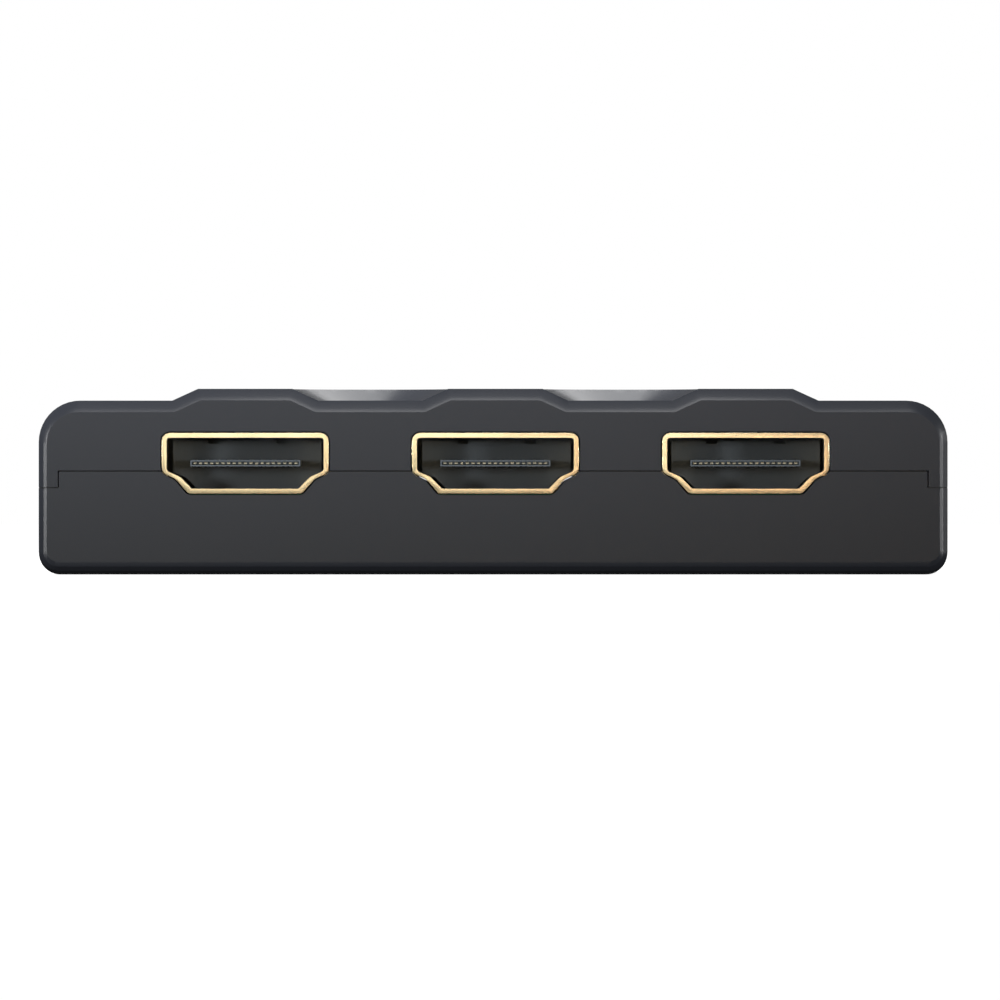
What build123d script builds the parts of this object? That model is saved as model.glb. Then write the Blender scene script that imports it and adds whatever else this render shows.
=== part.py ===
from build123d import *

import os
from math import copysign, cos, hypot, radians, sin, tan

# A three-input HDMI switch box. X runs along the row of inputs, which open at the -Y face.
# +Z is up, and the origin is the centre of the underside. All lengths are in millimetres.

# Places of the sockets
port_pitch = 22.3
port_to_side = 18.2
port_row_shift = 0.2
port_count = 3

# Housing
case_depth = 54.0
shoulder_over_sockets = 2.87
deck_rise = 1.05
side_wall = 1.75
end_wall = 1.8
floor_wall = 1.6
roof_wall = 1.6
top_corner_radius = 3.7
bottom_corner_radius = 1.9

# Sloping band round both ends of the housing, and the round under it
band_height = 0.9
band_width = 0.58
crease_round = 0.13
base_round = 1.15
base_round_steps = 4

# Raised bars over the inputs and the scoops between them
bar_width = 8.4
slope_run = 2.3
scoop_reach = 9.0

# Parting line between the two shells
seam_over_board = 2.02
skirt_drop = 1.48
parting_gap = 0.1
lip_thickness = 0.9
lip_rise = 0.8
lip_root = 2.2
lip_clearance = 0.1

# Circuit board, clamped between the bosses of the two shells
board_top = 7.2
board_thickness = 1.6
board_margin = 0.5

# Countersunk screws and the square bosses that they join
boss_side = 5.8
cover_boss_side = 4.2
boss_from_end = 8.0
notch_clearance = 0.2
screw_radius = 1.0
screw_head_radius = 2.1
screw_head_height = 1.2
screw_sink = 0.2
screw_length = 10.0
screw_clearance = 0.1
thread_clearance = 0.05
cross_width = 0.5
cross_depth = 0.7

# HDMI socket, from the 14.0 x 4.55 mm mouth of the standard. The sheet turns its corners in
# a few straight steps.
socket_corner_steps = 3
mouth_width = 14.0
mouth_height = 4.55
socket_wall = 0.44
socket_depth = 11.5
socket_recess = 0.05
socket_clearance = 0.12
socket_top_radius = 0.7
socket_shoulder_radius = 0.8
socket_base_radius = 0.5
socket_outline_shares = [(1, 1), (1, -0.31), (0.83, -0.53), (0.68, -1)]
tab_width = 1.4
tab_below_board = 0.7
tab_from_board_edge = 0.88
tab_from_back = 0.68
tab_clearance = 0.12
finger_place = 3.05
finger_width = 1.0
finger_start = 2.0
finger_length = 4.5
finger_slot = 0.25

# Insulator and contacts of an HDMI socket
insulator_depth = 7.0
insulator_side_gap = 0.36
insulator_top_gap = 0.27
insulator_base_gap = 0.03
insulator_shift = 0.1
insulator_collar = 1.0
tongue_width = 9.8
tongue_thickness = 0.55
tongue_recess = 1.2
tongue_rim = 0.12
nose_length = 0.3
nose_cavity = 0.7
tip_recess = 0.15
key_height = 0.25
key_depth = 2.0
contact_count = 19
contact_pitch = 0.5
contact_width = 0.26
contact_thickness = 0.12
contact_proud = 0.03
tail_gap = 0.4

# Micro-USB power socket
usb_width = 7.5
usb_height = 2.9
usb_wall = 0.3
usb_depth = 5.2
usb_corner_radius = 0.45
usb_outline_shares = [(1, 1), (1, -0.1), (0.72, -1)]
usb_place = 24.0
usb_insulator_depth = 3.4
usb_tongue_width = 3.6
usb_tongue_thickness = 0.6
usb_tongue_recess = 0.8
usb_tongue_lift = 0.35
usb_contact_count = 5
usb_contact_pitch = 0.65
usb_contact_width = 0.3
usb_contact_thickness = 0.1

# Select button and the switch under it
button_length = 12.0
button_width = 7.0
button_clearance = 0.2
button_sink = 0.05
button_edge = 0.3
button_rim = 0.9
dish_depth = 0.25
dish_slope = 0.6
button_flange = 0.8
button_flange_thickness = 0.9
button_stem_side = 4.0
button_travel = 0.25
switch_side = 6.0
switch_height = 3.5
switch_floor = 1.2
switch_cover_thickness = 0.3
switch_plunger_radius = 1.7
switch_plunger_rise = 1.5
switch_foot_side = 4.0
switch_bore_clearance = 0.2
switch_slack = 0.05
dome_side = 3.6
dome_crown_side = 1.6
dome_pressed_height = 0.35
dome_thickness = 0.1
terminal_width = 0.8
terminal_thickness = 0.2
terminal_reach = 1.0
terminal_spread = 4.5

# Status lights
led_length = 1.6
led_width = 0.8
led_height = 0.6
led_gap = 0.3
led_from_tails = 2.2
pipe_length = 2.4
pipe_width = 1.2
pipe_clearance = 0.05
pipe_collar = 0.6
pipe_collar_height = 1.0
pipe_room = 0.17

# Ribs that hold the sockets down
rib_thickness = 1.0
rib_place = 4.2
rib_gap = 0.1
rib_root = 0.3

# Parts on the board, with places as shares of half the board's width and depth
chip_side = 9.0
chip_height = 1.4
chip_stand_off = 0.1
chip_place_shares = (-0.37, 0.04)
lead_pitch = 0.65
leads_per_side = 10
lead_width = 0.3
lead_thickness = 0.15
lead_reach = 1.0
lead_foot = 0.45
memory_length = 4.9
memory_width = 3.9
memory_height = 1.5
memory_place_shares = (0.33, 0.04)
regulator_length = 6.5
regulator_width = 3.5
regulator_height = 1.6
regulator_tab = 1.5
regulator_tab_thickness = 0.3
regulator_place_shares = (0.66, 0.35)
crystal_length = 5.0
crystal_width = 3.2
crystal_height = 0.9
crystal_gap = 0.95
surge_length = 2.5
surge_width = 1.0
surge_height = 0.5
surge_spacing = 3.6
small_length = 1.6
small_width = 0.8
small_height = 0.7
resistor_height = 0.45
capacitor_place_shares = [
    (-0.62, -0.14), (-0.62, 0.04), (-0.62, 0.22), (-0.14, 0.28), (0.16, -0.2),
    (0.48, -0.16), (0.48, 0.24), (0.82, 0.1), (0.5, 0.52), (-0.78, 0.5),
]
resistor_place_shares = [
    (-0.37, -0.36), (-0.26, -0.36), (-0.48, -0.36), (0.24, 0.32), (0.33, 0.32),
    (0.66, -0.1), (0.75, -0.1), (-0.8, -0.05), (-0.8, 0.08), (-0.62, 0.6),
]

# One overrun for every cut, past the faces that it opens
overrun = 1.0

# Values worked out from the sizes above
case_width = (port_count - 1) * port_pitch + 2 * port_to_side
socket_half_width = mouth_width / 2 + socket_wall
socket_half_height = mouth_height / 2 + socket_wall
socket_height = board_top + socket_half_height
socket_top = socket_height + socket_half_height
shoulder_height = socket_top + shoulder_over_sockets
seam_height = board_top + seam_over_board
deck_height = shoulder_height + deck_rise
inner_half_width = case_width / 2 - side_wall
inner_half_depth = case_depth / 2 - end_wall
roof_under_shoulder = shoulder_height - roof_wall
roof_under_deck = deck_height - roof_wall
skirt_height = seam_height - skirt_drop
port_places = [port_row_shift + (i - (port_count - 1) / 2) * port_pitch for i in range(port_count)]
deck_left = port_places[0] - bar_width / 2
deck_right = port_places[-1] + bar_width / 2
slope_shift_share = deck_rise / (slope_run + hypot(slope_run, deck_rise))
band_depth = base_round * (1 - cos(radians(45)))
board_under = board_top - board_thickness
usb_centre_height = board_top + usb_height / 2
lip_half_width = inner_half_width - lip_clearance
lip_half_depth = inner_half_depth - lip_clearance
board_half_width = lip_half_width - lip_thickness - board_margin
board_half_depth = lip_half_depth - lip_thickness - board_margin
boss_x = (port_places[-1] + socket_half_width + lip_half_width - lip_thickness) / 2
boss_y = case_depth / 2 - boss_from_end
boss_places = [(sx * boss_x, sy * boss_y) for sx in (-1, 1) for sy in (-1, 1)]
screw_neck = screw_sink + screw_head_height
tail_place = socket_depth + tail_gap
tails_end = case_depth / 2 - socket_recess - tail_place - contact_thickness
led_y = -tails_end + led_from_tails
output_x = port_row_shift
button_place = (output_x, (led_y + tails_end) / 2)
button_top = deck_height - button_sink
switch_top = board_top + switch_height
plunger_top = switch_top + switch_plunger_rise
dome_height = dome_pressed_height + button_travel


def round_edges(centre, start, end, steps):
    """The edges that round a corner: one arc, or this many straight steps along it."""
    first = start - centre
    last = end - centre
    if steps == 0:
        middle = centre + (first + last).normalized() * first.length
        return [Edge.make_three_point_arc(start, middle, end)]
    sweep = radians(first.get_angle(last))
    points = []
    for i in range(steps + 1):
        turned = sweep * i / steps
        out = first * (sin(sweep - turned) / sin(sweep)) + last * (sin(turned) / sin(sweep))
        points.append(centre + out)
    return [Edge.make_line(a, b) for a, b in zip(points, points[1:])]


def rounded_loop(corners, y, steps=0):
    """A closed wire in the plane at y: each corner is x, z and the radius that rounds it."""
    rounds = []
    for i, (x, z, radius) in enumerate(corners):
        before = corners[i - 1]
        after = corners[(i + 1) % len(corners)]
        corner = Vector(x, y, z)
        back = (Vector(before[0], y, before[1]) - corner).normalized()
        ahead = (Vector(after[0], y, after[1]) - corner).normalized()
        half_angle = radians(back.get_angle(ahead)) / 2
        reach = radius / tan(half_angle)
        centre = corner + (back + ahead).normalized() * (radius / sin(half_angle))
        rounds.append((centre, corner + back * reach, corner + ahead * reach, radius))
    edges = []
    for i, (centre, start, end, radius) in enumerate(rounds):
        if radius > 0:
            edges += round_edges(centre, start, end, steps)
        edges.append(Edge.make_line(end, rounds[(i + 1) % len(rounds)][1]))
    return Wire(edges)


def polygon_prism(points, length_vector):
    """A solid with straight sides, from the points of its end and the way that it runs."""
    wire = Wire([Edge.make_line(a, b) for a, b in zip(points, points[1:] + points[:1])])
    return Solid.extrude(Face(wire), length_vector)


def prism(wire, length):
    """A solid that runs from the wire by this length along +Y."""
    return Solid.extrude(Face(wire), Vector(0, length, 0))


def block(x, y, z):
    """A box between two limits on each axis."""
    size = [abs(b - a) for a, b in (x, y, z)]
    centre = [(a + b) / 2 for a, b in (x, y, z)]
    return Pos(*centre) * Box(*size)


def square_post(x, y, bottom, top, side):
    """An upright square post between two heights."""
    return block((x - side / 2, x + side / 2), (y - side / 2, y + side / 2), (bottom, top))


def post(x, y, bottom, top, radius):
    """An upright cylinder between two heights."""
    return Pos(x, y, (bottom + top) / 2) * Cylinder(radius, top - bottom)


def countersink(x, y, bottom, grow):
    """The cone of a screw's head from this height up to its neck, grown all round."""
    height = screw_neck - bottom
    flare = height * (screw_head_radius - screw_radius) / screw_head_height
    neck_radius = screw_radius + grow
    return Pos(x, y, bottom + height / 2) * Cone(neck_radius + flare, neck_radius, height)


def capsule(place, bottom, top, length, width):
    """An upright capsule-shaped block, long in X."""
    return Pos(place[0], place[1], bottom) * extrude(SlotOverall(length, width), top - bottom)


def fuse(first, others):
    for other in others:
        first = first + other
    return first


def cut(first, others):
    for other in others:
        first = first - other
    return first


def mirrored_corners(half_width, half_height, shares, radii):
    """Corners of a socket's outline, from the shares of its right half and their radii."""
    right = [(sx * half_width, sz * half_height, r) for (sx, sz), r in zip(shares, radii)]
    left = [(-x, z, r) for x, z, r in reversed(right)]
    return right + left


# Housing

def housing_corners(top_inset, side_inset, base_inset, notched):
    """The housing's section across Y, drawn in by these insets, with or without the notches."""
    half_width = case_width / 2 - side_inset
    shoulder = shoulder_height - top_inset
    deck = deck_height - top_inset
    shift = top_inset * slope_shift_share
    base_radius = bottom_corner_radius - (side_inset + base_inset) / 2
    top_radius = top_corner_radius - (side_inset + top_inset) / 2
    corners = [(-half_width, base_inset, base_radius), (half_width, base_inset, base_radius)]
    corners.append((half_width, shoulder, top_radius))
    half_bar = bar_width / 2 - shift
    for i in reversed(range(port_count)):
        right = port_places[i] + half_bar
        left = port_places[i] - half_bar
        if notched or i == port_count - 1:
            corners += [(right + slope_run, shoulder, 0), (right, deck, 0)]
        if notched or i == 0:
            corners += [(left, deck, 0), (left - slope_run, shoulder, 0)]
    corners.append((-half_width, shoulder, top_radius))
    return corners


def end_piece(side, notched):
    """One end of the housing: a flat face, the crease and band round it, and the round below."""
    sections = []
    for step in range(base_round_steps + 1):
        angle = radians(90 * step / base_round_steps)
        depth = base_round * (1 - cos(angle))
        left_over = max(0, 1 - depth / band_depth)
        soften = crease_round if step == 0 else 0
        corners = housing_corners(
            band_height * left_over + soften,
            band_width * left_over + soften,
            base_round * (1 - sin(angle)),
            notched,
        )
        sections.append(rounded_loop(corners, side * (case_depth / 2 - depth)))
    return Solid.make_loft(sections, ruled=True)


def scoop(centre):
    """The hollow between two bars: a flat floor with a sloping wall round its sides and back."""
    half_floor = (port_pitch - bar_width) / 2 - slope_run
    start = -case_depth / 2
    bend = start + scoop_reach - half_floor
    loops = []
    for rise in (0, deck_rise + overrun):
        half = half_floor + slope_run * rise / deck_rise
        z = shoulder_height + rise
        points = [Vector(centre - half, bend, z), Vector(centre + half, bend, z)]
        front = [Vector(centre - half, start, z), Vector(centre + half, start, z)]
        loops.append(Wire([
            Edge.make_line(front[0], points[0]),
            Edge.make_three_point_arc(points[0], Vector(centre, bend + half, z), points[1]),
            Edge.make_line(points[1], front[1]),
            Edge.make_line(front[1], front[0]),
        ]))
    return Solid.make_loft(loops, ruled=True)


def housing_block():
    """The whole outside of the housing as one solid."""
    middle_end = case_depth / 2 - base_round
    loop = rounded_loop(housing_corners(0, 0, 0, False), -middle_end)
    middle = prism(loop, 2 * middle_end)
    centres = [(a + b) / 2 for a, b in zip(port_places, port_places[1:])]
    middle = cut(middle, [scoop(centre) for centre in centres])
    return fuse(middle, [end_piece(-1, True), end_piece(1, False)])


def housing_hollow():
    """The room inside: one hollow under the shoulders, and a deeper one under the deck."""
    inner_top_radius = top_corner_radius - side_wall
    loop = rounded_loop([
        (-inner_half_width, floor_wall, 0),
        (inner_half_width, floor_wall, 0),
        (inner_half_width, roof_under_shoulder, inner_top_radius),
        (-inner_half_width, roof_under_shoulder, inner_top_radius),
    ], -inner_half_depth)
    room = prism(loop, 2 * inner_half_depth)
    core_front = led_y - pipe_width / 2 - pipe_collar - pipe_room
    core = block(
        (deck_left + roof_wall, deck_right - roof_wall),
        (core_front, inner_half_depth - roof_wall),
        (roof_under_shoulder - overrun, roof_under_deck),
    )
    return room + core


def below_seam(offset):
    """Everything under the parting line, which steps down at the skirts of the side walls."""
    half_width = inner_half_width + offset
    reach = case_depth / 2 + overrun
    middle = block((-half_width, half_width), (-reach, reach), (-overrun, seam_height + offset))
    wide = case_width / 2 + overrun
    sides = block((-wide, wide), (-reach, reach), (-overrun, skirt_height + offset))
    return middle + sides


def socket_corners(grow):
    """The outline of an HDMI socket, grown all round by this much."""
    half_width = socket_half_width + grow
    half_height = socket_half_height + grow
    radii = [max(0, socket_top_radius + grow), max(0, socket_shoulder_radius + grow),
             socket_shoulder_radius - grow, max(0, socket_base_radius + grow)]
    return mirrored_corners(half_width, half_height, socket_outline_shares, radii)


def usb_corners(grow):
    """The outline of the micro-USB socket, grown all round by this much."""
    half_width = usb_width / 2 + grow
    half_height = usb_height / 2 + grow
    radii = [usb_corner_radius + grow] * len(usb_outline_shares)
    return mirrored_corners(half_width, half_height, usb_outline_shares, radii)


def socket_bar(corners, start, length):
    """A bar with a socket's outline, from its start along +Y."""
    return prism(rounded_loop(corners, start, socket_corner_steps), length)


def port_openings():
    """Prisms that cut the sockets' openings through both end walls."""
    length = end_wall + 2 * overrun
    front = -case_depth / 2 - overrun
    back = case_depth / 2 - end_wall - overrun
    hdmi = socket_bar(socket_corners(socket_clearance), 0, length)
    usb = socket_bar(usb_corners(socket_clearance), 0, length)
    cuts = [Pos(x, front, socket_height) * hdmi for x in port_places]
    cuts.append(Pos(output_x, back, socket_height) * hdmi)
    cuts.append(Pos(usb_place, back, usb_centre_height) * usb)
    return cuts


def lip_ring():
    """The lip of the lower shell: it stands inside the upper shell's walls, open at the sockets."""
    bottom = skirt_height - lip_root
    step = skirt_height - parting_gap / 2
    top = seam_height + lip_rise
    inner_x = lip_half_width - lip_thickness
    inner_y = lip_half_depth - lip_thickness
    root = block((-inner_half_width, inner_half_width), (-inner_half_depth, inner_half_depth),
                 (bottom, step))
    upper = block((-lip_half_width, lip_half_width), (-lip_half_depth, lip_half_depth), (step, top))
    hole = block((-inner_x, inner_x), (-inner_y, inner_y), (bottom - overrun, top + overrun))
    ring = root + upper - hole
    gap = socket_half_width + 2 * socket_clearance
    usb_gap = usb_width / 2 + 2 * socket_clearance
    low = board_top - 2 * socket_clearance
    high = top + overrun
    front = (-case_depth / 2, -inner_y + overrun)
    back = (inner_y - overrun, case_depth / 2)
    keep_outs = [block((x - gap, x + gap), front, (low, high)) for x in port_places]
    keep_outs.append(block((output_x - gap, output_x + gap), back, (low, high)))
    keep_outs.append(block((usb_place - usb_gap, usb_place + usb_gap), back, (low, high)))
    return cut(ring, keep_outs)


def lower_shell(shell):
    body = shell & below_seam(-parting_gap / 2)
    root = floor_wall / 2
    body = fuse(body, [square_post(x, y, root, board_under, boss_side) for x, y in boss_places])
    body = body + lip_ring()
    hole_radius = screw_radius + screw_clearance
    cuts = port_openings()
    for x, y in boss_places:
        cuts.append(countersink(x, y, -overrun, screw_clearance))
        cuts.append(post(x, y, screw_sink, board_under + overrun, hole_radius))
    return cut(body, cuts)


def socket_ribs():
    """Ribs under the roof, two over each HDMI socket."""
    bottom = socket_top + rib_gap
    length = socket_depth - end_wall - rib_thickness
    ribs = []
    for side, xs, roof in ((-1, port_places, roof_under_shoulder), (1, [output_x], roof_under_deck)):
        ys = (side * inner_half_depth, side * (inner_half_depth - length))
        for x in xs:
            for place in (x - rib_place, x + rib_place):
                half = rib_thickness / 2
                ribs.append(block((place - half, place + half), ys, (bottom, roof + rib_root)))
    return ribs


def upper_shell(shell):
    body = shell - below_seam(parting_gap / 2)
    roof = roof_under_shoulder + rib_root
    body = fuse(body, [square_post(x, y, board_under, roof, cover_boss_side)
                       for x, y in boss_places])
    body = fuse(body, socket_ribs())
    hole = (button_length + 2 * button_clearance, button_width + 2 * button_clearance)
    under = roof_under_deck - overrun
    over = deck_height + overrun
    cuts = [capsule(button_place, under, over, *hole)]
    cuts += [light_bar(x, under, over, pipe_clearance) for x in port_places]
    pilot_top = screw_sink + screw_length + screw_clearance
    cuts += [post(x, y, board_under - overrun, pilot_top, screw_radius + thread_clearance)
             for x, y in boss_places]
    return cut(body, cuts + port_openings())


# Sockets, drawn with the mouth at y = 0, opening at -Y, and the centre of the mouth at z = 0

def tab_places():
    """Sides and depths of the tabs: one pair near the board's edge, one near the socket's back."""
    board_edge = case_depth / 2 - socket_recess - board_half_depth
    first = board_edge + tab_from_board_edge + tab_width / 2
    last = socket_depth - tab_from_back - tab_width / 2
    return [(sx, depth) for sx in (-1, 1) for depth in (first, last)]


def tab_block(sx, depth, bottom, top, grow):
    outer = sx * (socket_half_width + grow)
    inner = sx * (socket_half_width - socket_wall - grow)
    half = tab_width / 2 + grow
    return block((inner, outer), (depth - half, depth + half), (bottom, top))


def hdmi_shell():
    """Folded sheet with spring fingers above and below, and four tabs that go through the board."""
    outside = socket_bar(socket_corners(0), 0, socket_depth)
    inside = socket_bar(socket_corners(-socket_wall), -overrun, socket_depth + 2 * overrun)
    shell = outside - inside
    slots = []
    end = finger_start + finger_length
    half = finger_width / 2
    for place in (-finger_place, finger_place):
        for zs in ((0, socket_half_height + overrun), (-socket_half_height - overrun, 0)):
            slots.append(block((place - half - finger_slot, place - half), (finger_start, end), zs))
            slots.append(block((place + half, place + half + finger_slot), (finger_start, end), zs))
            slots.append(block((place - half, place + half),
                               (finger_start, finger_start + finger_slot), zs))
    shell = cut(shell, slots)
    tab_bottom = -socket_half_height - board_thickness - tab_below_board
    tabs = [tab_block(sx, depth, tab_bottom, 0, 0) for sx, depth in tab_places()]
    return fuse(shell, tabs)


def contact_places():
    """Each contact's x, and 1 for the tongue's upper face or -1 for its lower face."""
    first = -(contact_count - 1) / 2 * contact_pitch
    return [(first + i * contact_pitch, 1 if i % 2 == 0 else -1) for i in range(contact_count)]


def hdmi_contact(x, side):
    """One contact: its tip dives into the tongue's nose, and its tail stands on the board."""
    t = contact_thickness
    tip = tongue_recess + tip_recess
    face = side * (tongue_thickness / 2 + contact_proud)
    inner = face - side * t
    rise = tongue_recess + nose_length + nose_cavity
    outline = [(tip, -side * t / 2), (tip, side * t / 2), (rise, face)]
    outer_tail, inner_tail = (tail_place + t, tail_place) if side > 0 else (tail_place, tail_place + t)
    outline += [(outer_tail, face), (outer_tail, -socket_half_height)]
    outline += [(inner_tail, -socket_half_height), (inner_tail, inner), (rise, inner)]
    points = [Vector(x - contact_width / 2, y, z) for y, z in outline]
    return polygon_prism(points, Vector(contact_width, 0, 0))


def hdmi_contacts():
    return [hdmi_contact(x, side) for x, side in contact_places()]


def hdmi_insulator():
    """Moulded block with a collar that closes the shell's back, and a tongue for the contacts."""
    half_width = mouth_width / 2 - insulator_side_gap
    half_height = (mouth_height - insulator_top_gap - insulator_base_gap) / 2
    middle = (insulator_base_gap - insulator_top_gap) / 2
    corners = mirrored_corners(half_width, half_height, socket_outline_shares, [0, 0, 0, 0])
    body = prism(rounded_loop(corners, insulator_depth), socket_depth - insulator_depth)
    body = Pos(insulator_shift, 0, middle) * body
    collar = socket_bar(socket_corners(-socket_wall), socket_depth - insulator_collar, insulator_collar)
    body = body + collar
    half = tongue_thickness / 2
    body = body + block((-tongue_width / 2, tongue_width / 2),
                        (tongue_recess, insulator_depth + tongue_thickness), (-half, half))
    hollow = tongue_width / 2 - tongue_rim
    nose_end = tongue_recess + nose_length
    rise = nose_end + nose_cavity
    face = half + contact_proud
    inner = face - contact_thickness
    top = middle + half_height
    low = tongue_rim - half
    xs = (-hollow, hollow)
    cuts = [
        block(xs, (tongue_recess - overrun, rise), (low, -low)),
        block(xs, (nose_end, rise), (-face, face)),
        block(xs, (rise, socket_depth + overrun), (inner, face)),
        block(xs, (rise, socket_depth + overrun), (-face, -inner)),
    ]
    for x in (insulator_shift - finger_place, insulator_shift + finger_place):
        cuts.append(block((x - finger_width / 2, x + finger_width / 2),
                          (insulator_depth - overrun, insulator_depth + key_depth),
                          (top - key_height, top + overrun)))
    return cut(body, cuts)


def usb_shell():
    outside = socket_bar(usb_corners(0), 0, usb_depth)
    inside = socket_bar(usb_corners(-usb_wall), -overrun, usb_depth + 2 * overrun)
    return outside - inside


def usb_contacts():
    half = usb_contact_width / 2
    top = usb_tongue_lift - usb_tongue_thickness / 2
    first = -(usb_contact_count - 1) / 2 * usb_contact_pitch
    places = [first + i * usb_contact_pitch for i in range(usb_contact_count)]
    return [block((x - half, x + half), (usb_tongue_recess + usb_contact_thickness, usb_depth),
                  (top - usb_contact_thickness, top)) for x in places]


def usb_insulator():
    body = socket_bar(usb_corners(-usb_wall), usb_insulator_depth, usb_depth - usb_insulator_depth)
    half_width = usb_tongue_width / 2
    half = usb_tongue_thickness / 2
    tongue = block((-half_width, half_width), (usb_tongue_recess, usb_insulator_depth + half),
                   (usb_tongue_lift - half, usb_tongue_lift + half))
    return cut(body + tongue, usb_contacts())


def place_front(shapes, x):
    return [Pos(x, -case_depth / 2 + socket_recess, socket_height) * s for s in shapes]


def place_back(shapes, x, height):
    back = case_depth / 2 - socket_recess
    return [Pos(x, back, height) * Rot(0, 0, 180) * s for s in shapes]


def sockets():
    """All nodes of the four HDMI sockets and the power socket."""
    nodes = {}
    kinds = {"shell": [hdmi_shell()], "insulator": [hdmi_insulator()], "contacts": hdmi_contacts()}
    for i, x in enumerate(port_places):
        for kind, shapes in kinds.items():
            nodes[f"input_{i + 1}_{kind}"] = place_front(shapes, x)
    for kind, shapes in kinds.items():
        nodes[f"output_{kind}"] = place_back(shapes, output_x, socket_height)
    kinds = {"shell": [usb_shell()], "insulator": [usb_insulator()], "contacts": usb_contacts()}
    for kind, shapes in kinds.items():
        nodes[f"power_{kind}"] = place_back(shapes, usb_place, usb_centre_height)
    return nodes


# Select button and the switch under it

def select_button():
    """Capsule-shaped key with a finger dish, a plate that keeps it in, and a square stem."""
    flange_top = roof_under_deck
    flange_bottom = flange_top - button_flange_thickness
    cap = capsule(button_place, flange_top, button_top, button_length, button_width)
    cap = chamfer(cap.edges().group_by(Axis.Z)[-1], button_edge)
    outlines = []
    for side in (-1, 1):
        inset = 2 * (button_rim - side * dish_slope)
        outline = SlotOverall(button_length - inset, button_width - inset)
        outlines.append(Pos(*button_place, button_top + side * dish_depth) * outline)
    dish = loft(outlines, ruled=True)
    x, y = button_place
    half_length = button_length / 2 + button_flange
    half_width = button_width / 2 + button_flange
    flange = block((x - half_length, x + half_length), (y - half_width, y + half_width),
                   (flange_bottom, flange_top))
    return cap - dish + flange + square_post(x, y, plunger_top, flange_bottom, button_stem_side)


def switch_body():
    """Square base of the push switch, hollow for the dome and the plunger's foot."""
    x, y = button_place
    body = square_post(x, y, board_top, switch_top - switch_cover_thickness, switch_side)
    room_side = switch_foot_side + 2 * switch_bore_clearance
    return body - square_post(x, y, board_top + switch_floor, switch_top, room_side)


def switch_cover():
    """Thin metal plate over the switch, with a hole for the plunger."""
    x, y = button_place
    plate = square_post(x, y, switch_top - switch_cover_thickness, switch_top, switch_side)
    hole = post(x, y, board_top, switch_top + overrun,
                switch_plunger_radius + switch_bore_clearance)
    return plate - hole


def switch_plunger():
    """Square foot on the dome, and a round stem through the cover."""
    x, y = button_place
    foot_bottom = board_top + switch_floor + dome_height
    foot_top = switch_top - switch_cover_thickness - switch_slack
    foot = square_post(x, y, foot_bottom, foot_top, switch_foot_side)
    return foot + post(x, y, foot_top, plunger_top, switch_plunger_radius)


def switch_dome():
    """Four-sided snap dome: a thin cap with a flat crown that stands on the switch's floor."""
    base = Rectangle(dome_side, dome_side)
    crown = Pos(0, 0, dome_height) * Rectangle(dome_crown_side, dome_crown_side)
    cap = loft([base, crown], ruled=True)
    cap = cap - Pos(0, 0, -dome_thickness) * cap
    return Pos(*button_place, board_top + switch_floor) * cap


def switch_terminals():
    """Four bent legs, soldered to the board beside the switch."""
    x, y = button_place
    half = terminal_width / 2
    t = terminal_thickness
    side = switch_side / 2
    legs = []
    for sx in (-1, 1):
        for sy in (-1, 1):
            centre = y + sy * terminal_spread / 2
            ys = (centre - half, centre + half)
            upright = block((x + sx * side, x + sx * (side + t)), ys,
                            (board_top, board_top + switch_floor))
            foot = block((x + sx * side, x + sx * (side + terminal_reach)), ys,
                         (board_top, board_top + t))
            legs.append(upright + foot)
    return legs


# Board and what is soldered to it

def board_spot(shares):
    return shares[0] * board_half_width, shares[1] * board_half_depth


def board_block(place, length, width, height):
    """A plain body that stands on the board."""
    x, y = place
    return block((x - length / 2, x + length / 2), (y - width / 2, y + width / 2),
                 (board_top, board_top + height))


def circuit_board():
    """Board with a notch for each screw boss and slots for the tabs of the sockets."""
    board = block((-board_half_width, board_half_width), (-board_half_depth, board_half_depth),
                  (board_under, board_top))
    low = board_under - overrun
    high = board_top + overrun
    half = cover_boss_side / 2 + notch_clearance
    edge = board_half_width + overrun
    holes = [block((copysign(boss_x - half, x), copysign(edge, x)), (y - half, y + half), (low, high))
             for x, y in boss_places]
    slots = [tab_block(sx, depth, -overrun, overrun, tab_clearance) for sx, depth in tab_places()]
    for x in port_places:
        front = -case_depth / 2 + socket_recess
        holes += [Pos(x, front, board_top - board_thickness / 2) * s for s in slots]
    back = case_depth / 2 - socket_recess
    turn = Pos(output_x, back, board_top - board_thickness / 2) * Rot(0, 0, 180)
    holes += [turn * s for s in slots]
    return cut(board, holes)


def video_switch_chip():
    """Flat package whose sides slope in above and below the leads."""
    x, y = board_spot(chip_place_shares)
    bottom = board_top + chip_stand_off
    waist = bottom + chip_height / 2
    draft = chip_height / 8
    half = chip_side / 2
    waist_face = Pos(x, y, waist) * Rectangle(2 * half, 2 * half)
    top_face = Pos(x, y, bottom + chip_height) * Rectangle(2 * (half - draft), 2 * (half - draft))
    low_face = Pos(x, y, bottom) * Rectangle(2 * (half - draft), 2 * (half - draft))
    return loft([low_face, waist_face], ruled=True) + loft([waist_face, top_face], ruled=True)


def video_switch_leads():
    """Gull-wing leads on all four sides of the chip."""
    x, y = board_spot(chip_place_shares)
    half = chip_side / 2
    t = lead_thickness
    shoulder = chip_stand_off + chip_height / 2 - t / 2
    foot = half + lead_reach - lead_foot
    end = half + lead_reach
    outline = [(half, shoulder), (foot, 0), (end, 0), (end, t), (foot + t / 2, t),
               (half, shoulder + t)]
    points = [Vector(a, -lead_width / 2, board_top + b) for a, b in outline]
    lead = polygon_prism(points, Vector(0, lead_width, 0))
    first = -(leads_per_side - 1) / 2 * lead_pitch
    leads = []
    for turn in range(4):
        for i in range(leads_per_side):
            leads.append(Pos(x, y) * Rot(0, 0, 90 * turn) * Pos(0, first + i * lead_pitch) * lead)
    return leads


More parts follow.
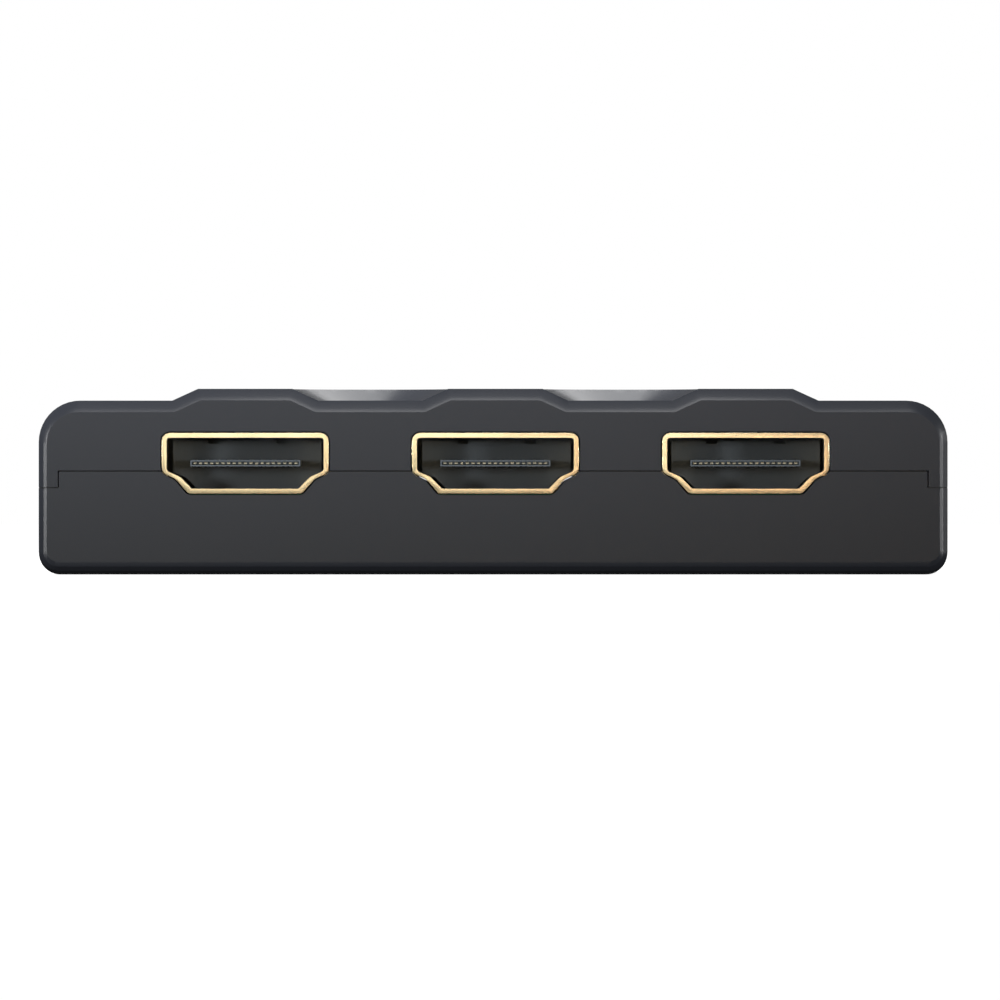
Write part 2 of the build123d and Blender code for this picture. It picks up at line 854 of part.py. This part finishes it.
def voltage_regulator():
    x, y = board_spot(regulator_place_shares)
    body = board_block((x, y), regulator_length, regulator_width, regulator_height)
    end = y + regulator_width / 2
    tab = block((x - regulator_width / 2, x + regulator_width / 2), (end, end + regulator_tab),
                (board_top, board_top + regulator_tab_thickness))
    return body + tab


def surge_arrays():
    """Two small arrays behind each HDMI socket, beside its tails."""
    arrays = []
    for x in port_places:
        for side in (-1, 1):
            place = (x + side * surge_spacing, -tails_end + led_from_tails)
            arrays.append(board_block(place, surge_length, surge_width, surge_height))
    for side in (-1, 1):
        place = (output_x + side * surge_spacing, tails_end - led_from_tails)
        arrays.append(board_block(place, surge_length, surge_width, surge_height))
    return arrays


def light_bar(x, bottom, top, grow):
    """An upright bar with the outline of a light pipe, grown all round by this much."""
    half_length = pipe_length / 2 + grow
    half_width = pipe_width / 2 + grow
    return block((x - half_length, x + half_length), (led_y - half_width, led_y + half_width),
                 (bottom, top))


def light_pipe(x):
    """Clear bar from over the light to the deck, with a collar under the roof."""
    rod = light_bar(x, board_top + led_height + led_gap, deck_height, 0)
    collar = light_bar(x, roof_under_deck - pipe_collar_height, roof_under_deck, pipe_collar)
    return rod + collar


def case_screw(x, y):
    """Countersunk screw with a cross in its head, driven in from below."""
    head = countersink(x, y, screw_sink, 0)
    shank = post(x, y, screw_neck, screw_sink + screw_length, screw_radius)
    half = cross_width / 2
    reach = screw_radius + half
    depth = (screw_sink - overrun, screw_sink + cross_depth)
    bars = [block((x - reach, x + reach), (y - half, y + half), depth),
            block((x - half, x + half), (y - reach, y + reach), depth)]
    return cut(head, bars) + shank


def clock_crystal():
    """Metal can beside the chip, past its leads."""
    x, y = board_spot(chip_place_shares)
    place = (x, y + chip_side / 2 + lead_reach + crystal_gap + crystal_width / 2)
    return board_block(place, crystal_length, crystal_width, crystal_height)


def board_parts():
    small = (small_length, small_width)
    nodes = {
        "circuit_board": [circuit_board()],
        "video_switch_chip": [video_switch_chip()],
        "video_switch_leads": video_switch_leads(),
        "memory_chip": [board_block(board_spot(memory_place_shares),
                                    memory_length, memory_width, memory_height)],
        "voltage_regulator": [voltage_regulator()],
        "clock_crystal": [clock_crystal()],
        "surge_arrays": surge_arrays(),
        "capacitors": [board_block(board_spot(s), *small, small_height)
                       for s in capacitor_place_shares],
        "resistors": [board_block(board_spot(s), *small, resistor_height)
                      for s in resistor_place_shares],
        "status_leds": [board_block((x, led_y), led_length, led_width, led_height)
                        for x in port_places],
    }
    return nodes


def all_nodes():
    shell = housing_block() - housing_hollow()
    nodes = {
        "upper_shell": [upper_shell(shell)],
        "lower_shell": [lower_shell(shell)],
        "select_button": [select_button()],
        "switch_body": [switch_body()],
        "switch_cover": [switch_cover()],
        "switch_plunger": [switch_plunger()],
        "switch_dome": [switch_dome()],
        "switch_terminals": switch_terminals(),
        "case_screws": [case_screw(x, y) for x, y in boss_places],
    }
    nodes.update(sockets())
    nodes.update(board_parts())
    for i, x in enumerate(port_places):
        nodes[f"light_pipe_{i + 1}"] = [light_pipe(x)]
    return nodes


os.makedirs("parts", exist_ok=True)
for name, shapes in all_nodes().items():
    solids = [solid for shape in shapes for solid in shape.solids()]
    whole = solids[0] if len(solids) == 1 else Compound(children=solids)
    export_step(whole, f"parts/{name}.step")
    print(name, len(solids), "solid(s)", round(sum(s.volume for s in solids), 2), "mm3")
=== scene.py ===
# %% [markdown]
# An HDMI switch box, dressed for the camera.
# The box is already built as a set of separate parts at their real size. This lesson gives each
# part the surface of the real one, then lights and frames it as a product photograph.
# Everything is in metres, and the origin is the centre of the box's underside.

# %% Load the parts
from math import cos, pi, radians, sin

import bpy
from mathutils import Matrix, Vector


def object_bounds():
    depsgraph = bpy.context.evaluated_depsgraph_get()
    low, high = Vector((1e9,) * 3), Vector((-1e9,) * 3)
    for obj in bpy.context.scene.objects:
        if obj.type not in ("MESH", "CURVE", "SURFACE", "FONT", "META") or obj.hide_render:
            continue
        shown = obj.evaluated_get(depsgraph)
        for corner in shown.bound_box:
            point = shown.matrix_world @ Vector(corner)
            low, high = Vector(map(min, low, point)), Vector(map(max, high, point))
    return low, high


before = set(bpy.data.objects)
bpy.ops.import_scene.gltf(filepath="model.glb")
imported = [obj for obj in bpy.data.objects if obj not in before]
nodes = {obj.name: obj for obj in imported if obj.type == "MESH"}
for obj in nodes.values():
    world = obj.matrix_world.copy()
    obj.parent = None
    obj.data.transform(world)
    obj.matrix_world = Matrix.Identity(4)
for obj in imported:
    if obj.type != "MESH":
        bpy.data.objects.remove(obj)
cad_box = [list(corner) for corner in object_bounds()]
print("parts:", len(nodes), "box:", cad_box)

# %% [markdown]
# Small values are easier to read in millimetres, and colours are easier to choose as the hex
# values that a paint program shows. Shaders want metres and linear light, so two helpers convert.

# %% Units and colours
MM = 0.001


def linear(hex_colour):
    """An sRGB hex colour as the linear RGBA that a shader takes."""
    channels = []
    for i in (0, 2, 4):
        value = int(hex_colour[i:i + 2], 16) / 255
        channels.append(value / 12.92 if value <= 0.04045 else ((value + 0.055) / 1.055) ** 2.4)
    return (*channels, 1.0)


# %% [markdown]
# A material is a graph of nodes. One helper adds a node, sets its options and sockets, and links
# what feeds it, so each material below reads as a short list of its ingredients.

# %% Helper that adds a shader node
def add(tree, kind, sockets=None, links=None, **options):
    """A new node with these options, socket values and incoming links."""
    node = tree.nodes.new(kind)
    for name, value in options.items():
        setattr(node, name, value)
    for name, value in (sockets or {}).items():
        node.inputs[name].default_value = value
    for name, source in (links or {}).items():
        tree.links.new(source, node.inputs[name])
    return node


def new_material(name):
    """An empty material and the tree of its nodes."""
    material = bpy.data.materials.new(name)
    material.use_nodes = True
    material.node_tree.nodes.clear()
    return material, material.node_tree


def dress(material, names):
    """Gives these parts this material and no other."""
    for name in names:
        slots = nodes[name].data.materials
        slots.clear()
        slots.append(material)
    print(material.name, "on", ", ".join(names))


# %% [markdown]
# The housing is ABS, injection moulded in a mould whose walls were spark eroded. That leaves a
# fine, even grain of about a fifth of a millimetre, which scatters the light and hides
# fingerprints. The grain is far finer than a mesh can hold, so it is a bump pattern. On top lies
# a slow, narrow drift of tone and gloss, as flowing plastic leaves. The grain also traps some
# light, so the skin reflects less than polished plastic would.

# %% Moulded ABS
GRAIN = 0.22 * MM
DRIFT = 9 * MM
GLOSS_DRIFT = 0.005
ABS_IOR = 1.53
SKIN_SPECULAR = 0.36


def moulded_plastic(name, colour, roughness, grain, depth, tone):
    """Moulded plastic with this grain size, grain depth and share of tone drift."""
    material, tree = new_material(name)
    coords = add(tree, "ShaderNodeTexCoord").outputs["Object"]
    fine = add(tree, "ShaderNodeTexNoise", {"Scale": 1 / grain, "Detail": 2.0}, {"Vector": coords})
    slow = add(tree, "ShaderNodeTexNoise", {"Scale": 1 / DRIFT, "Detail": 3.0}, {"Vector": coords})
    bump = add(tree, "ShaderNodeBump", {"Strength": 1.0, "Distance": depth},
               {"Height": fine.outputs["Fac"]})
    low = [channel * (1 - tone) for channel in linear(colour)[:3]] + [1.0]
    high = [channel * (1 + tone) for channel in linear(colour)[:3]] + [1.0]
    colour_mix = add(tree, "ShaderNodeMix", {"A": low, "B": high}, data_type="RGBA")
    tree.links.new(slow.outputs["Fac"], colour_mix.inputs["Factor"])
    gloss = add(tree, "ShaderNodeMapRange",
                {"To Min": roughness - GLOSS_DRIFT, "To Max": roughness + GLOSS_DRIFT},
                {"Value": slow.outputs["Fac"]})
    skin = add(tree, "ShaderNodeBsdfPrincipled", {
        "IOR": ABS_IOR, "Specular IOR Level": SKIN_SPECULAR,
    }, {
        "Base Color": colour_mix.outputs["Result"],
        "Roughness": gloss.outputs["Result"],
        "Normal": bump.outputs["Normal"],
    })
    add(tree, "ShaderNodeOutputMaterial", links={"Surface": skin.outputs["BSDF"]})
    return material


# %% [markdown]
# The two shells come from the same mould shop, so they share one ABS. The button is a second
# moulding, nearly the same black, with a finer grain and a flatter finish.

# %% Dress the housing and the button
charcoal = moulded_plastic("charcoal_abs_spark_eroded_mould", "222429",
                           roughness=0.28, grain=GRAIN, depth=0.0015 * MM, tone=0.02)
dress(charcoal, ["upper_shell", "lower_shell"])
black_key = moulded_plastic("black_abs_fine_mould", "232427",
                            roughness=0.4, grain=GRAIN / 2, depth=0.001 * MM, tone=0.02)
dress(black_key, ["select_button"])

# %% [markdown]
# The insulators inside the sockets are a glass-filled polymer, moulded very thin. The glass fibres
# lie just under the skin, so it is a flatter, bluish grey with an uneven sheen.

# %% Glass-filled polymer
FIBRE = 0.35 * MM
polymer = moulded_plastic("glass_filled_polymer_moulded", "42484D",
                          roughness=0.5, grain=FIBRE, depth=0.003 * MM, tone=0.08)
insulators = [name for name in nodes if name.endswith("_insulator")]
dress(polymer, insulators + ["switch_body", "switch_plunger"])

# %% [markdown]
# Metals differ in colour, in how sharp their reflections are, and in the marks of their making.
# The socket shells are folded steel sheet with bright gold plating. The plating copies the faint
# rolling lines of the sheet, so a stretched noise drives a very small bump, and soft clouds
# change the gloss from place to place. The table lists colour, roughness, depth of the rolling
# lines in millimetres, and the parts.

# %% Plated and rolled metals
ROLLING = 0.08 * MM
ROLLING_STRETCH = 0.08
CLOUDS = 2 * MM
CLOUD_SPREAD = 0.2


def plated_metal(name, colour, roughness, depth):
    """Metal sheet whose rolling lines run along the box's depth."""
    material, tree = new_material(name)
    coords = add(tree, "ShaderNodeTexCoord").outputs["Object"]
    stretched = add(tree, "ShaderNodeMapping", {"Scale": (1.0, ROLLING_STRETCH, 1.0)},
                    {"Vector": coords})
    lines = add(tree, "ShaderNodeTexNoise", {"Scale": 1 / ROLLING, "Detail": 2.0},
                {"Vector": stretched.outputs["Vector"]})
    clouds = add(tree, "ShaderNodeTexNoise", {"Scale": 1 / CLOUDS, "Detail": 2.0},
                 {"Vector": coords})
    bump = add(tree, "ShaderNodeBump", {"Strength": 1.0, "Distance": depth},
               {"Height": lines.outputs["Fac"]})
    gloss = add(tree, "ShaderNodeMapRange", {
        "To Min": roughness * (1 - CLOUD_SPREAD), "To Max": roughness * (1 + CLOUD_SPREAD),
    }, {"Value": clouds.outputs["Fac"]})
    metal = add(tree, "ShaderNodeBsdfPrincipled",
                {"Base Color": linear(colour), "Metallic": 1.0},
                {"Roughness": gloss.outputs["Result"], "Normal": bump.outputs["Normal"]})
    add(tree, "ShaderNodeOutputMaterial", links={"Surface": metal.outputs["BSDF"]})
    return material


hdmi_shells = [f"input_{i}_shell" for i in (1, 2, 3)] + ["output_shell"]
contacts = [name for name in nodes if name.endswith("_contacts")]
steel_parts = ["power_shell", "switch_cover", "switch_dome", "case_screws", "clock_crystal"]
METALS = {
    "gold_plated_steel_folded": ("FFEAC4", 0.2, 0.0002, hdmi_shells),
    "gold_flashed_bronze_stamped": ("C4BFAE", 0.3, 0.0003, contacts),
    "zinc_plated_steel_stamped": ("C9C9C4", 0.3, 0.001, steel_parts),
    "tinned_copper_reflowed": ("C4C5C6", 0.38, 0.001, ["switch_terminals", "video_switch_leads"]),
}
for name, (colour, roughness, depth, parts) in METALS.items():
    dress(plated_metal(name, colour, roughness, depth * MM), parts)

# %% [markdown]
# The circuit board is woven glass cloth in epoxy under a green solder mask. The weave shows
# through as a fine square pattern, one thread every 0.4 mm. Two crossed wave patterns make it.
# At a scale of 1, a wave pattern repeats every 0.314 units.

# %% Solder mask over woven glass
THREAD = 0.4 * MM
WAVE_PERIOD = 0.314
WEAVE_DEPTH = 0.004 * MM


def solder_mask():
    """Glossy green lacquer over a square weave."""
    material, tree = new_material("solder_mask_over_woven_glass")
    coords = add(tree, "ShaderNodeTexCoord").outputs["Object"]
    weave = add(tree, "ShaderNodeMath", operation="ADD")
    for i, direction in enumerate(("X", "Y")):
        wave = add(tree, "ShaderNodeTexWave", {"Scale": WAVE_PERIOD / THREAD}, {"Vector": coords},
                   bands_direction=direction)
        tree.links.new(wave.outputs["Fac"], weave.inputs[i])
    bump = add(tree, "ShaderNodeBump", {"Distance": WEAVE_DEPTH},
               {"Height": weave.outputs["Value"]})
    green = add(tree, "ShaderNodeValToRGB", links={"Fac": weave.outputs["Value"]})
    green.color_ramp.elements[0].color = linear("0D3B22")
    green.color_ramp.elements[1].color = linear("14502F")
    lacquer = add(tree, "ShaderNodeBsdfPrincipled", {"Roughness": 0.25, "IOR": 1.55},
                  {"Base Color": green.outputs["Color"], "Normal": bump.outputs["Normal"]})
    add(tree, "ShaderNodeOutputMaterial", links={"Surface": lacquer.outputs["BSDF"]})
    return material


dress(solder_mask(), ["circuit_board"])

# %% [markdown]
# The parts on the board are moulded epoxy and fired ceramic. They are hidden in use, but each
# still has its own finish.

# %% Dress the electronics
epoxy = moulded_plastic("black_epoxy_transfer_moulded", "1C1C1D",
                        roughness=0.6, grain=0.1 * MM, depth=0.003 * MM, tone=0.06)
dress(epoxy, ["video_switch_chip", "memory_chip", "voltage_regulator", "surge_arrays", "resistors"])
ceramic = moulded_plastic("barium_ceramic_fired", "8F7149",
                          roughness=0.55, grain=0.06 * MM, depth=0.002 * MM, tone=0.1)
dress(ceramic, ["capacitors"])

# %% [markdown]
# The light pipes are clear acrylic with a frosted end, so the lamp below spreads into an even
# milky spot. The lamps themselves are bare dies under clear resin. Transmission gives the clear
# body, and roughness the frost.

# %% Frosted acrylic and resin
FROST = 0.05 * MM
FROST_DEPTH = 0.002 * MM
ACRYLIC_IOR = 1.49


def frosted(name, colour, roughness, transmission):
    """Clear plastic with a frosted skin."""
    material, tree = new_material(name)
    coords = add(tree, "ShaderNodeTexCoord").outputs["Object"]
    frost = add(tree, "ShaderNodeTexNoise", {"Scale": 1 / FROST, "Detail": 1.0}, {"Vector": coords})
    bump = add(tree, "ShaderNodeBump", {"Distance": FROST_DEPTH}, {"Height": frost.outputs["Fac"]})
    plastic = add(tree, "ShaderNodeBsdfPrincipled", {
        "Base Color": linear(colour), "Roughness": roughness, "IOR": ACRYLIC_IOR,
        "Transmission Weight": transmission,
    }, {"Normal": bump.outputs["Normal"]})
    add(tree, "ShaderNodeOutputMaterial", links={"Surface": plastic.outputs["BSDF"]})
    return material


acrylic = frosted("acrylic_frosted_end", "9AA0A4", roughness=0.35, transmission=0.8)
dress(acrylic, [f"light_pipe_{i}" for i in (1, 2, 3)])
resin = frosted("clear_resin_over_die", "E8E4C8", roughness=0.2, transmission=0.3)
dress(resin, ["status_leds"])

# %% [markdown]
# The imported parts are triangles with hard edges. Real edges are never that sharp: a mould's corner
# is at least a few hundredths of a millimetre round, and that tiny round catches the light. A stack
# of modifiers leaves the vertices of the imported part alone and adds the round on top: weld the
# split vertices, dissolve flat triangles into whole faces, mark the edges to round, bevel them and
# shade. Small node groups do the marking and the shading. The turn of an edge, the angle between
# its two faces, tells which edge is which: the facets of a curved wall turn a few degrees, the
# creases of the case up to sixty, and the corners of a socket or a button about ninety.

# %% Edge groups
def geometry_group(name):
    """A modifier group with one geometry in and one out, and the node that holds the input."""
    group = bpy.data.node_groups.new(name, "GeometryNodeTree")
    group.interface.new_socket("Geometry", in_out="INPUT", socket_type="NodeSocketGeometry")
    group.interface.new_socket("Geometry", in_out="OUTPUT", socket_type="NodeSocketGeometry")
    return group, add(group, "NodeGroupInput").outputs["Geometry"]


def turn_above(group, angle):
    """True on the edges where the two faces turn more than this angle."""
    turn = add(group, "GeometryNodeInputMeshEdgeAngle")
    return add(group, "FunctionNodeCompare", {"B": angle},
               {"A": turn.outputs["Unsigned Angle"]}, operation="GREATER_THAN").outputs["Result"]


def mark_edges(name, low, high):
    """Marks the edges that turn between these angles as the ones to round."""
    group, geometry = geometry_group(name)
    between = add(group, "FunctionNodeBooleanMath", operation="NIMPLY",
                  links={0: turn_above(group, low), 1: turn_above(group, high)})
    mark = add(group, "GeometryNodeStoreNamedAttribute", {"Name": "bevel_weight_edge"},
               {"Geometry": geometry, "Value": between.outputs["Boolean"]},
               data_type="FLOAT", domain="EDGE")
    add(group, "NodeGroupOutput", links={"Geometry": mark.outputs["Geometry"]})
    return group


def smooth_below(name, angle):
    """Shades smooth, with a hard edge wherever faces turn more than this angle."""
    group, geometry = geometry_group(name)
    soft = add(group, "GeometryNodeSetShadeSmooth", {"Shade Smooth": True},
               {"Geometry": geometry}, domain="FACE")
    hard = add(group, "GeometryNodeSetShadeSmooth", {"Shade Smooth": False},
               {"Geometry": soft.outputs["Geometry"], "Selection": turn_above(group, angle)},
               domain="EDGE")
    add(group, "NodeGroupOutput", links={"Geometry": hard.outputs["Geometry"]})
    return group


def mark_outer_edges(name, low, centre_height):
    """Marks the edges that turn more than this angle and, seen from the front, face outward."""
    group, geometry = geometry_group(name)
    box = add(group, "GeometryNodeBoundBox", links={"Geometry": geometry})
    middle = add(group, "ShaderNodeVectorMath",
                 links={0: box.outputs["Min"], 1: box.outputs["Max"]})
    half = add(group, "ShaderNodeVectorMath", {"Scale": 0.5}, {0: middle.outputs["Vector"]},
               operation="SCALE")
    level = add(group, "ShaderNodeSeparateXYZ", links={0: half.outputs["Vector"]})
    centre = add(group, "ShaderNodeCombineXYZ", {"Z": centre_height},
                 {"X": level.outputs["X"], "Y": level.outputs["Y"]})
    place = add(group, "GeometryNodeInputPosition").outputs["Position"]
    outward = add(group, "ShaderNodeVectorMath", links={0: place, 1: centre.outputs["Vector"]},
                  operation="SUBTRACT")
    without_depth = (1.0, 0.0, 1.0)
    flat = add(group, "ShaderNodeVectorMath", {1: without_depth}, {0: outward.outputs["Vector"]},
               operation="MULTIPLY")
    normal = add(group, "GeometryNodeInputNormal").outputs["Normal"]
    lean = add(group, "ShaderNodeVectorMath", links={0: flat.outputs["Vector"], 1: normal},
               operation="DOT_PRODUCT")
    outer = add(group, "FunctionNodeCompare", {"B": 0.0}, {"A": lean.outputs["Value"]},
                operation="GREATER_THAN")
    chosen = add(group, "FunctionNodeBooleanMath", operation="AND",
                 links={0: turn_above(group, low), 1: outer.outputs["Result"]})
    mark = add(group, "GeometryNodeStoreNamedAttribute", {"Name": "bevel_weight_edge"},
               {"Geometry": geometry, "Value": chosen.outputs["Boolean"]},
               data_type="FLOAT", domain="EDGE")
    add(group, "NodeGroupOutput", links={"Geometry": mark.outputs["Geometry"]})
    return group


SOCKET_HEIGHT = 9.93 * MM
SMOOTH_TURN = radians(35)
CREASE_TURNS = (radians(12), radians(60))
CORNER_TURNS = (radians(40), radians(179))

SMOOTH = smooth_below("smooth_below_angle", SMOOTH_TURN)
MOULDED_EDGES = mark_edges("mark_moulded_edges", *CREASE_TURNS)
ALL_EDGES = mark_edges("mark_all_edges", *CORNER_TURNS)
OUTER_EDGES = mark_outer_edges("mark_outer_edges", CORNER_TURNS[0], SOCKET_HEIGHT)

# %% [markdown]
# Each kind of part gets its own round. The gold rims are rolled over like a bead and shaded without
# weights, so that they bend the light all the way across. The case and the button get small rounds,
# with the flat faces shaded first so that they stay flat. All other parts are only shaded.

# %% Round and shade each part
WELD_REACH = 0.0005 * MM
FLAT_ANGLE = radians(0.5)
RIM_ROUND = 0.05 * MM
CASE_ROUND = 0.16 * MM
KEY_ROUND = 0.06 * MM


def finish_edges(name, marks=None, width=0.0, segments=3, weighted=True):
    """Welds a part, rounds its marked edges by this width and shades it."""
    part = nodes[name]
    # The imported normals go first, because they would shade over the new rounds.
    if "custom_normal" in part.data.attributes:
        part.data.attributes.remove(part.data.attributes["custom_normal"])
    weld = part.modifiers.new("weld", "WELD")
    weld.merge_threshold = WELD_REACH
    flat = part.modifiers.new("dissolve", "DECIMATE")
    flat.decimate_type = "DISSOLVE"
    flat.angle_limit = FLAT_ANGLE
    if marks:
        part.modifiers.new("mark", "NODES").node_group = marks
        bevel = part.modifiers.new("edge_round", "BEVEL")
        bevel.width = width
        bevel.segments = segments
        bevel.limit_method = "WEIGHT"
        bevel.use_clamp_overlap = True
    part.modifiers.new("shade", "NODES").node_group = SMOOTH
    if weighted:
        normals = part.modifiers.new("flat_faces_first", "WEIGHTED_NORMAL")
        normals.keep_sharp = True


for name in nodes:
    if name in hdmi_shells:
        finish_edges(name, OUTER_EDGES, RIM_ROUND, segments=12, weighted=False)
    elif name in ("upper_shell", "lower_shell"):
        finish_edges(name, MOULDED_EDGES, CASE_ROUND)
    elif name == "select_button":
        finish_edges(name, ALL_EDGES, KEY_ROUND)
    else:
        finish_edges(name)
print("rounded and shaded:", len(nodes), "parts")

# %% [markdown]
# The parting line steps down at both ends. At each corner the lower shell has a low rib on its
# edge, just behind the face, so that no light passes between the shells there.

# %% Light-tight ribs on the parting line
RIB_SIZE = (1.76 * MM, 1.2 * MM, 0.097 * MM)
RIB_PLACE = (39.6 * MM, 26.0 * MM, 7.739 * MM)

group, geometry = geometry_group("light_tight_rib")
ribs = add(group, "GeometryNodeJoinGeometry")
group.links.new(geometry, ribs.inputs["Geometry"])
for side, end in ((-1, -1), (-1, 1), (1, -1), (1, 1)):
    bar = add(group, "GeometryNodeMeshCube", {"Size": RIB_SIZE})
    placed = add(group, "GeometryNodeTransform",
                 {"Translation": (side * RIB_PLACE[0], end * RIB_PLACE[1], RIB_PLACE[2])},
                 {"Geometry": bar.outputs["Mesh"]})
    painted = add(group, "GeometryNodeSetMaterial", {"Material": charcoal},
                  {"Geometry": placed.outputs["Geometry"]})
    group.links.new(painted.outputs["Geometry"], ribs.inputs["Geometry"])
add(group, "NodeGroupOutput", links={"Geometry": ribs.outputs["Geometry"]})
nodes["lower_shell"].modifiers.new("light_tight_rib", "NODES").node_group = group
print("ribs:", RIB_SIZE, "at", RIB_PLACE, "and mirrored")

# %% [markdown]
# The box stands on a white floor, as in a product photograph. What the floor gives depends on the
# kind of ray. The camera sees plain white, shiny surfaces see it almost black, as if black card
# lay just outside the picture, and matt surfaces get next to no light from it. From below, the
# floor is clear, so that the underside can be looked at. It lies a hair under the box, because
# two faces in one plane would flicker.

# %% Floor
FLOOR_SIZE = 6.0
FLOOR_GAP = 0.02 * MM


def ray_level(tree, camera, glossy, other):
    """A strength that depends on what sees it: the camera, a shiny surface or a diffuse one."""
    rays = add(tree, "ShaderNodeLightPath")
    seen = add(tree, "ShaderNodeMath", operation="MAXIMUM",
               links={0: rays.outputs["Is Camera Ray"], 1: rays.outputs["Is Transmission Ray"]})
    mirrored = add(tree, "ShaderNodeMapRange", {"To Min": other, "To Max": glossy},
                   {"Value": rays.outputs["Is Glossy Ray"]})
    level = add(tree, "ShaderNodeMapRange", {"To Max": camera},
                {"Value": seen.outputs["Value"], "To Min": mirrored.outputs["Result"]})
    return level.outputs["Result"]


bpy.ops.mesh.primitive_plane_add(size=FLOOR_SIZE, location=(0, 0, -FLOOR_GAP))
floor = bpy.context.object
floor.name = "studio_floor"
paper, tree = new_material("matt_grey_paper")
glow = add(tree, "ShaderNodeEmission", {"Color": linear("FFFFFF")},
           {"Strength": ray_level(tree, camera=0.96, glossy=0.03, other=0.0)})
matt = add(tree, "ShaderNodeBsdfDiffuse",
           links={"Color": ray_level(tree, camera=0.18, glossy=0.0, other=0.02)})
both = add(tree, "ShaderNodeAddShader",
           links={0: glow.outputs["Emission"], 1: matt.outputs["BSDF"]})
below = add(tree, "ShaderNodeNewGeometry").outputs["Backfacing"]
clear = add(tree, "ShaderNodeBsdfTransparent")
one_way = add(tree, "ShaderNodeMixShader",
              links={0: below, 1: both.outputs["Shader"], 2: clear.outputs["BSDF"]})
add(tree, "ShaderNodeOutputMaterial", links={"Surface": one_way.outputs["Shader"]})
floor.data.materials.append(paper)
print("floor:", FLOOR_SIZE, "m square,", FLOOR_GAP, "m below the box")

# %% [markdown]
# The surround works the same way: white to the camera, dim in reflections, and a low, even fill on
# matt surfaces.

# %% Surround
world = bpy.data.worlds.new("white_surround")
bpy.context.scene.world = world
world.use_nodes = True
tree = world.node_tree
tree.nodes.clear()
sky = add(tree, "ShaderNodeBackground", {"Color": linear("FFFFFF")},
          {"Strength": ray_level(tree, camera=1.0, glossy=0.12, other=0.3)})
add(tree, "ShaderNodeOutputWorld", links={"Surface": sky.outputs["Background"]})
print("surround:", world.name)

# %% [markdown]
# Dark plastic shows its shape by what it reflects, so each soft box is placed for one reflection:
#
# - the large one above and behind gives the pale scoops on the top edge;
# - the two beside the camera fill the gold rims, cool from the left and warm from the right;
# - the one above in front draws the line along the crease under the band;
# - the two low at the sides draw the lines down the left and right edges.
#
# The table lists each box's place, size, power in watts and colour.

# %% Lamps
TARGET = Vector((0, -0.02, 0.008))


def aim(name, data, place, target):
    """Puts a lamp here and turns it to the target."""
    lamp = bpy.data.objects.new(name, data)
    bpy.context.scene.collection.objects.link(lamp)
    lamp.location = place
    lamp.rotation_euler = (Vector(target) - Vector(place)).to_track_quat("-Z", "Y").to_euler()
    print(name, "at", tuple(place))
    return lamp


SOFT_BOXES = {
    "back_soft_box": ((0.095, 0.365, 0.38), 0.3, 0.75, "FFFFFF"),
    "front_left_soft_box": ((-0.05, -0.9, 0.06), 0.14, 0.13, "FFFFEC"),
    "front_right_soft_box": ((0.06, -0.9, 0.02), 0.04, 0.038, "FFD9B0"),
    "top_front_soft_box": ((0.0, -0.42, 0.2), 0.08, 0.24, "FFFFFF"),
    "left_front_soft_box": ((-0.225, -0.37, 0.03), 0.05, 0.5, "FFFFFF"),
    "right_front_soft_box": ((0.4, -0.37, 0.03), 0.06, 1.0, "FFFFFF"),
}
for name, (place, size, power, colour) in SOFT_BOXES.items():
    data = bpy.data.lights.new(name, "AREA")
    data.size = size
    data.energy = power
    data.color = linear(colour)[:3]
    aim(name, data, place, TARGET)

# %% [markdown]
# A flagged spot lights the upper part of the face only. Its edge crosses the face at a slant, so
# the face falls off towards the lower right. The spot is aimed by that edge: from the lamp, one
# direction points at the middle of the shadow line, and the cone's axis is turned away from it
# by half the cone's angle, square to the line, so that the cone's rim touches the line. The spot
# is left out of reflections, as a polarising filter does in a studio, so it leaves no bright dot
# on the corners.

# %% Flagged spot
EDGE_POINT = Vector((0, cad_box[0][1], 5.0 * MM))
EDGE_LINE = Vector((1, 0, 0.11)).normalized()
TO_LAMP = Vector((-0.58, -0.5, 0.645))
SPOT_DISTANCE = 1.1
SPOT_POWER = 170.0
HALF_CONE = radians(30)
EDGE_BLEND = 0.022
SPOT_RADIUS = 0.01

flagged = bpy.data.lights.new("flagged_spot", "SPOT")
flagged.energy = SPOT_POWER
flagged.spot_size = 2 * HALF_CONE
flagged.spot_blend = EDGE_BLEND
flagged.shadow_soft_size = SPOT_RADIUS
lamp_place = EDGE_POINT + SPOT_DISTANCE * TO_LAMP
above_line = TO_LAMP.cross(EDGE_LINE).normalized()
if above_line.z < 0:
    above_line = -above_line
axis = above_line * sin(HALF_CONE) - TO_LAMP.normalized() * cos(HALF_CONE)
aim("flagged_spot", flagged, lamp_place, lamp_place + axis).visible_glossy = False

# %% [markdown]
# The photograph looks straight at the row of inputs with a long lens from far away, so that all
# three sockets look alike. At 1.5 m, one pixel of the 1000 pixel picture is 0.0891 mm wide at
# the front face. The lens follows from that width, and the camera's place from the picture's
# centre.

# %% Camera
PICTURE_WIDTH = 89.1 * MM
PICTURE_CENTRE = (0.61 * MM, 6.64 * MM)
DISTANCE = 1.5
SENSOR = 36.0
front = cad_box[0][1]
camera_data = bpy.data.cameras.new("long_lens")
camera_data.sensor_width = SENSOR
camera_data.lens = SENSOR * DISTANCE / PICTURE_WIDTH
camera_data.clip_start = 0.05
camera_data.clip_end = 20.0
camera = bpy.data.objects.new("camera", camera_data)
bpy.context.scene.collection.objects.link(camera)
camera.location = (PICTURE_CENTRE[0], front - DISTANCE, PICTURE_CENTRE[1])
camera.rotation_euler = (pi / 2, 0, 0)
bpy.context.scene.camera = camera
bpy.context.scene.view_settings.view_transform = "Standard"
print("lens:", camera_data.lens, "mm")
